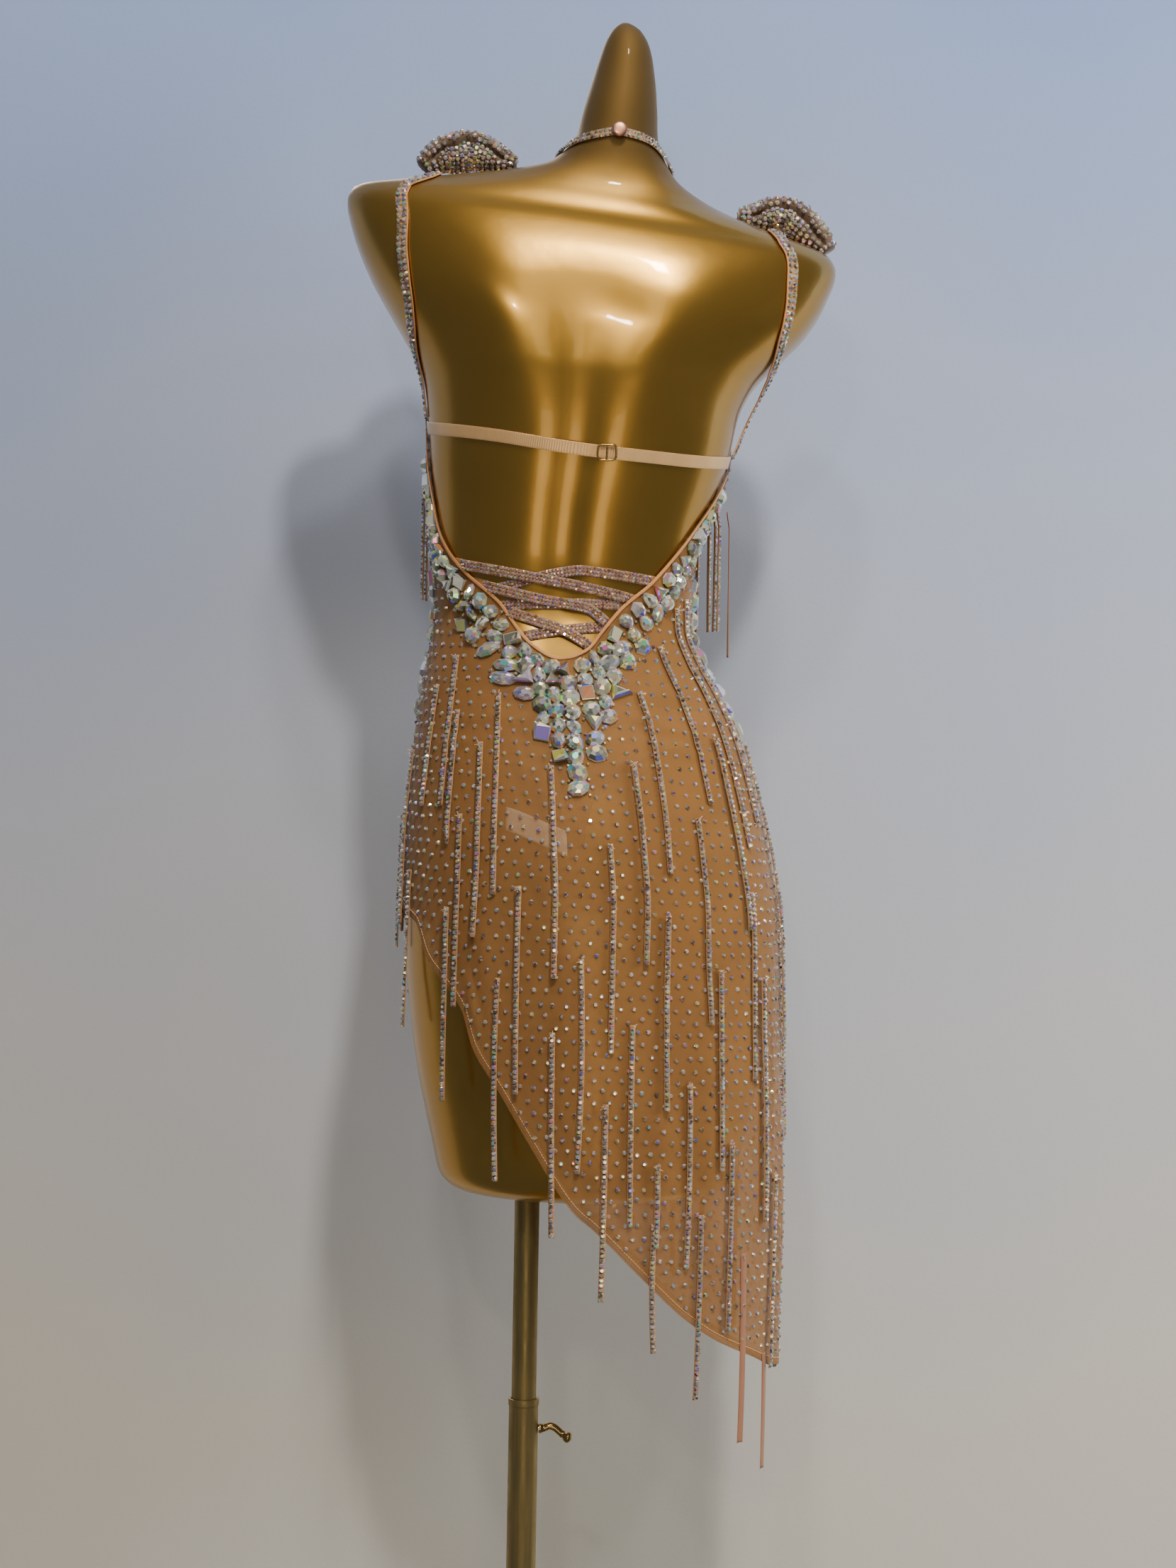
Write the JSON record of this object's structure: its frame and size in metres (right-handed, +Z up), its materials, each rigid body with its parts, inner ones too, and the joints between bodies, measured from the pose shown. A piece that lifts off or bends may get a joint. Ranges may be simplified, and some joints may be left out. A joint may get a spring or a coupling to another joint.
{
  "type": "salsa dance dress on dress form",
  "caption": "Asymmetric stretch mesh salsa dress with stone trim and strand fringe, fitted on a glossy limbless dress form with a pole stand and round base.",
  "frame": {"origin": "centre of the round base's underside, on the pole's axis", "axes": "+Z up, -Y out of the wearer's back, +X to the wearer's right, the side of the long tail"},
  "size_m": [0.4383, 0.38, 1.7165],
  "materials": {
    "pearl_gold_lacquer": "glossy pearl gold lacquer",
    "gilt_metal": "polished gilt",
    "painted_plate": "gilt paint",
    "nude_stretch_mesh": "sheer matte stretch mesh",
    "nude_satin": "satin elastic and binding",
    "pale_tape": "smooth pale tape",
    "stoned_mesh": "mesh set with small iridescent stones",
    "iridescent_glass": "cut glass with a rainbow coating"
  },
  "bodies": {
    "stand": {"stand_base": "painted_plate", "stand_sleeve": "gilt_metal"},
    "form": {"back_neck_binding": "nude_satin", "back_panel": "nude_stretch_mesh", "bra_slider": "gilt_metal", "bra_strap": "nude_satin", "brief_back": "nude_satin", "choker": "stoned_mesh", "choker_snap": "gilt_metal", "crystals_back": "iridescent_glass", "crystals_front": "iridescent_glass", "cup_left": "nude_stretch_mesh", "cup_right": "nude_stretch_mesh", "dress_form": "pearl_gold_lacquer", "fringe_back_1": "stoned_mesh", "fringe_back_2": "stoned_mesh", "fringe_back_3": "stoned_mesh", "fringe_back_4": "stoned_mesh", "fringe_back_5": "stoned_mesh", "fringe_back_6": "stoned_mesh", "fringe_back_7": "stoned_mesh", "fringe_back_8": "stoned_mesh", "fringe_back_9": "stoned_mesh", "fringe_cup_left": "stoned_mesh", "fringe_cup_right": "stoned_mesh", "fringe_front_1": "stoned_mesh", "fringe_front_2": "stoned_mesh", "fringe_front_3": "stoned_mesh", "fringe_front_4": "stoned_mesh", "fringe_front_5": "stoned_mesh", "fringe_front_6": "stoned_mesh", "front_panel": "nude_stretch_mesh", "label_patch": "pale_tape", "lacing_1": "stoned_mesh", "lacing_2": "stoned_mesh", "lacing_3": "stoned_mesh", "lacing_4": "stoned_mesh", "lacing_5": "stoned_mesh", "lacing_6": "stoned_mesh", "plain_strip_side": "nude_satin", "plain_strip_tail_1": "nude_satin", "plain_strip_tail_2": "nude_satin", "shoulder_roll_left": "stoned_mesh", "shoulder_roll_right": "stoned_mesh", "shoulder_strap_left": "stoned_mesh", "shoulder_strap_right": "stoned_mesh", "stand_pole": "gilt_metal"},
    "lever": {"stand_lever": "gilt_metal"}
  },
  "joints": [
    {"name": "form_height", "type": "slide", "parent": "stand", "child": "form", "axis": [0, 0, 1], "range_m": [-0.15, 0.1]},
    {"name": "lever_turn", "type": "hinge", "parent": "stand", "child": "lever", "pos_m": [0.0129, 0, 0.5217], "axis": [1, 0, 0], "range_deg": [0, 90]}
  ]
}
